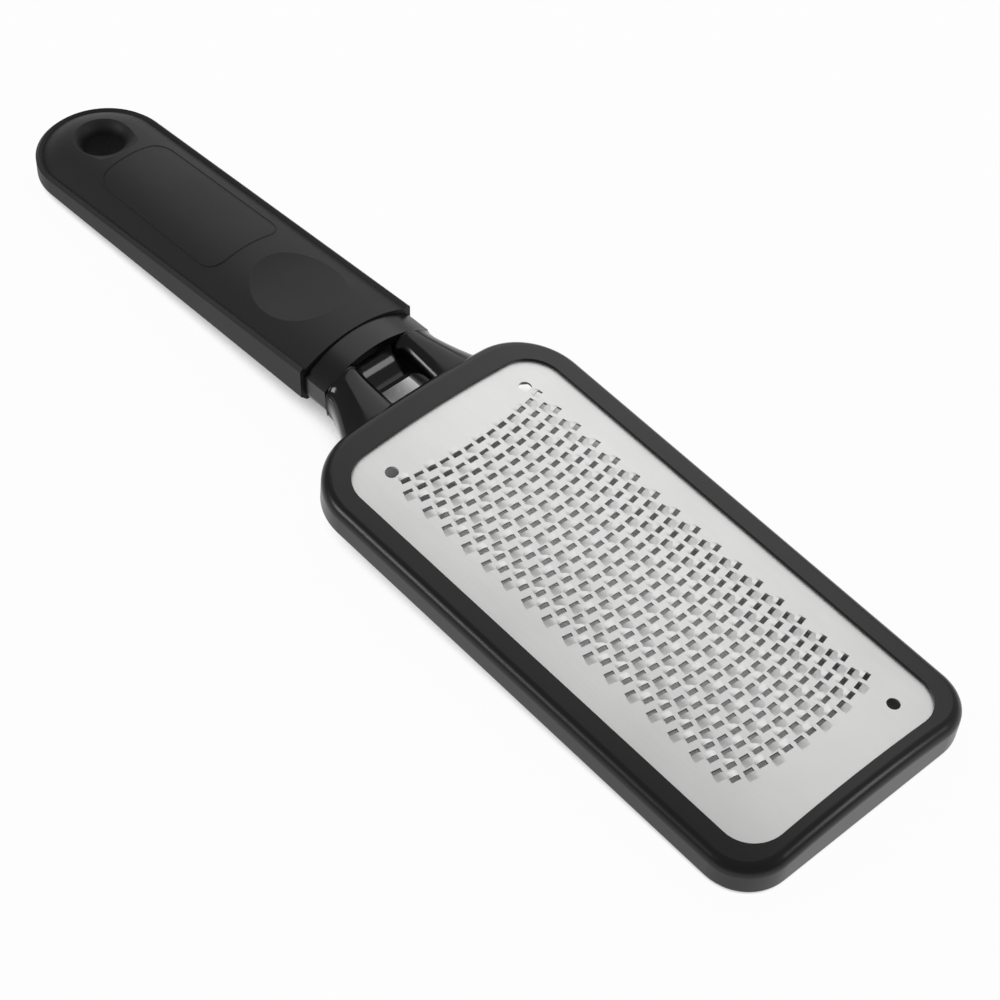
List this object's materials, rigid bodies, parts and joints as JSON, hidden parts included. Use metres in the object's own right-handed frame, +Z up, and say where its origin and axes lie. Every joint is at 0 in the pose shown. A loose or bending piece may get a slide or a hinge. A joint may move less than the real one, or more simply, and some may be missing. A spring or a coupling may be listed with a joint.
{
  "type": "foot file",
  "caption": "Paddle foot file with a crowned steel rasp plate of raised slotted teeth in a plastic frame, a forked neck, a collar and a soft grip with a hanging hole",
  "frame": {"origin": "on the axis of the hanging hole, level with the flat underside of the grip", "axes": "+X from the hanging hole towards the tip of the head, +Y across, +Z up out of the rasping face"},
  "size_m": [0.2614, 0.0688, 0.0255],
  "materials": {
    "steel": "satin stainless sheet",
    "frame_plastic": "satin to gloss black moulding",
    "collar_plastic": "semi-gloss black moulding",
    "core_plastic": "plain black moulding",
    "grip_rubber": "matte soft touch"
  },
  "bodies": {
    "root": {"rasp_plate": "steel", "head_frame": "frame_plastic", "collar": "collar_plastic", "handle_core": "core_plastic", "soft_grip": "grip_rubber"}
  },
  "joints": []
}
